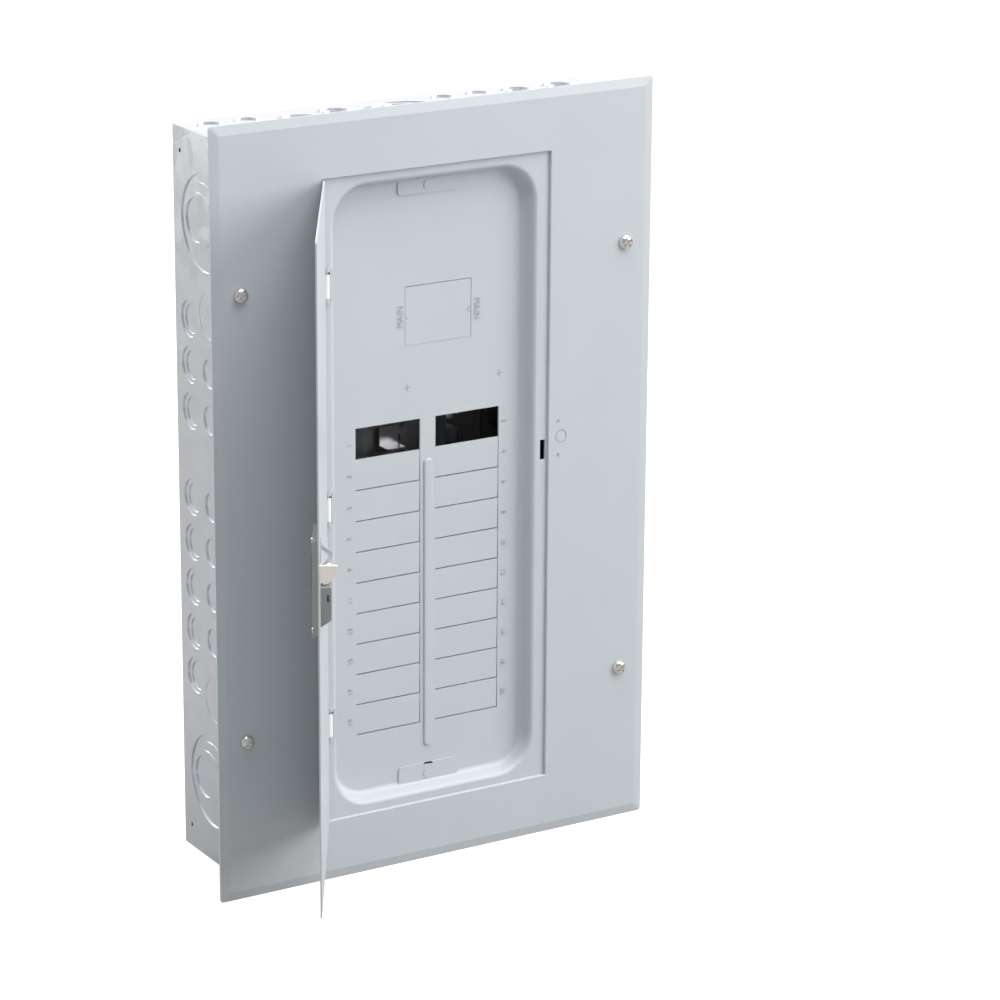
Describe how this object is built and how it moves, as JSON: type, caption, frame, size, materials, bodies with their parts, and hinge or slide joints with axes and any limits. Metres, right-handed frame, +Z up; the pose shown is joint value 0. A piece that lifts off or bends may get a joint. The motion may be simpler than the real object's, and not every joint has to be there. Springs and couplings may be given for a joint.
{
  "type": "residential load center",
  "caption": "Flush-mounted steel breaker panel: galvanized box with knockouts, painted cover with a hinged door and slide latch, bus bars and neutral bars inside.",
  "frame": {"origin": "centre of the box's back face, which lies against the wall cavity's back or the stud line", "axes": "+Z up; the front faces -Y and +Y points into the wall; +X is to the right seen from the front"},
  "size_m": [0.3981, 0.2707, 0.62],
  "materials": {
    "galvanized": "bright spangled zinc",
    "cover_paint": "satin light grey paint",
    "door_paint": "satin light grey paint",
    "bright_screw": "bright zinc plate",
    "steel_pin": "drawn steel",
    "white_nylon": "natural white",
    "grey_plastic": "moulded grey",
    "cream_plastic": "moulded cream",
    "spring_steel": "thin strip",
    "black_plastic": "moulded black",
    "tin_plate": "dull tin plate",
    "lug_aluminium": "satin",
    "green_screw": "green dyed zinc"
  },
  "bodies": {
    "enclosure": {"box_body": "galvanized", "end_wall_top": "galvanized", "end_wall_bottom": "galvanized", "cover": "cover_paint", "cover_screws": "bright_screw", "hinge_pin_top": "steel_pin", "hinge_pin_middle": "steel_pin", "hinge_pin_bottom": "steel_pin", "tray": "galvanized", "tray_screws": "bright_screw", "insulating_base": "black_plastic", "bus_bar_left": "tin_plate", "bus_bar_right": "tin_plate", "bus_bolts": "bright_screw", "stabs": "tin_plate", "breaker_rail_left": "galvanized", "breaker_rail_right": "galvanized", "lugs": "lug_aluminium", "lug_screws": "lug_aluminium", "neutral_bar_left": "lug_aluminium", "neutral_bar_right": "lug_aluminium", "ground_bar": "lug_aluminium", "neutral_screws": "bright_screw", "ground_screws": "bright_screw", "neutral_supports": "black_plastic", "neutral_strap": "lug_aluminium", "bonding_screw": "green_screw", "ground_fixings": "green_screw"},
    "door": {"door_panel": "door_paint", "hinge_bushing_top": "white_nylon", "hinge_bushing_middle": "white_nylon", "hinge_bushing_bottom": "white_nylon", "latch_housing": "grey_plastic", "latch_screws": "bright_screw", "latch_spring": "spring_steel"},
    "latch": {"latch_hook": "cream_plastic", "latch_button": "grey_plastic"}
  },
  "joints": [
    {"name": "door_hinge", "type": "hinge", "parent": "enclosure", "child": "door", "pos_m": [-0.0972, -0.0949, 0], "axis": [0, 0, -1], "range_deg": [-120.4, 8]},
    {"name": "latch_slide", "type": "slide", "parent": "door", "child": "latch", "axis": [0, 0, 1], "range_m": [0, 0.006], "stiffness_N_per_m": 300, "springref_m": -0.004, "deforming": ["latch_spring"]}
  ]
}
